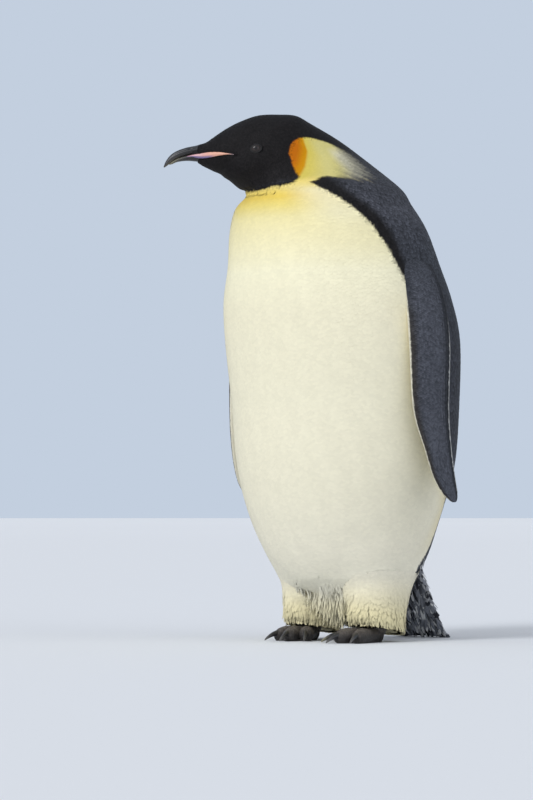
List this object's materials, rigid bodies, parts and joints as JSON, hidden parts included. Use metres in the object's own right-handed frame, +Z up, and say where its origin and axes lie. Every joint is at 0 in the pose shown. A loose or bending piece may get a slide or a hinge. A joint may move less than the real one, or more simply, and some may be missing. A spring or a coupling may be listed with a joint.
{
  "type": "emperor penguin",
  "caption": "Life-size museum model of an adult emperor penguin standing upright with its neck drawn in and its head turned to its right.",
  "frame": {"origin": "on the floor, under the centre of the bounding box, between the feet and the tail", "axes": "+Z up, the chest faces -Y, the bird's own left is +X"},
  "size_m": [0.5058, 0.5198, 0.9716],
  "materials": {
    "plumage_pale": "matt, dense overlapping feathers, cream to white, lemon on the upper chest",
    "plumage_dark": "satin, dense overlapping feathers, blue-grey",
    "plumage_black": "satin, very short dense feathers, brownish black",
    "bill_horn": "smooth keratin, satin, near black",
    "bill_plate": "smooth waxy keratin, salmon to lilac",
    "eye_wet": "wet, glossy, dark brown iris",
    "foot_skin": "rough scaly skin, dark brown",
    "claw_horn": "worn keratin, satin, black"
  },
  "bodies": {
    "root": {"trunk": "plumage_pale", "neck": "plumage_dark", "head": "plumage_black", "tail": "plumage_dark", "bill_upper": "bill_horn", "bill_lower": "bill_horn", "bill_plate_left": "bill_plate", "eye_left": "eye_wet", "wing_left": "plumage_dark", "leg_left": "plumage_pale", "foot_left": "foot_skin", "claw_left_inner": "claw_horn", "claw_left_middle": "claw_horn", "claw_left_outer": "claw_horn", "bill_plate_right": "bill_plate", "eye_right": "eye_wet", "wing_right": "plumage_dark", "leg_right": "plumage_pale", "foot_right": "foot_skin", "claw_right_inner": "claw_horn", "claw_right_middle": "claw_horn", "claw_right_outer": "claw_horn"}
  },
  "joints": []
}
